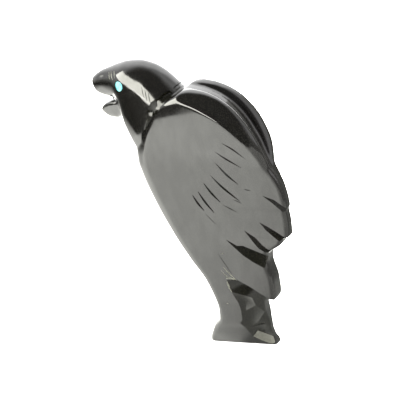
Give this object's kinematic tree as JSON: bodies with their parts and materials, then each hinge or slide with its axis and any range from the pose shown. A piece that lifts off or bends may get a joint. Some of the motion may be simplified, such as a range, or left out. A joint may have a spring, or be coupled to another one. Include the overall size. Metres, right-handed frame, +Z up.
{
  "type": "raven fetish carving",
  "caption": "Small standing raven carved from one flat slab of polished jet, with round turquoise inlay eyes, stepped feather tips and a flat foot that it stands on.",
  "frame": {"origin": "centre of the flat underside of the foot", "axes": "+Z up, -Y the way the bird faces, +X the bird's left side"},
  "size_m": [0.0128, 0.0523, 0.0759],
  "materials": {
    "polished jet": "polished",
    "turquoise": "polished"
  },
  "bodies": {
    "root": {"raven_body": "polished jet", "eye_left": "turquoise", "eye_right": "turquoise"}
  },
  "joints": []
}
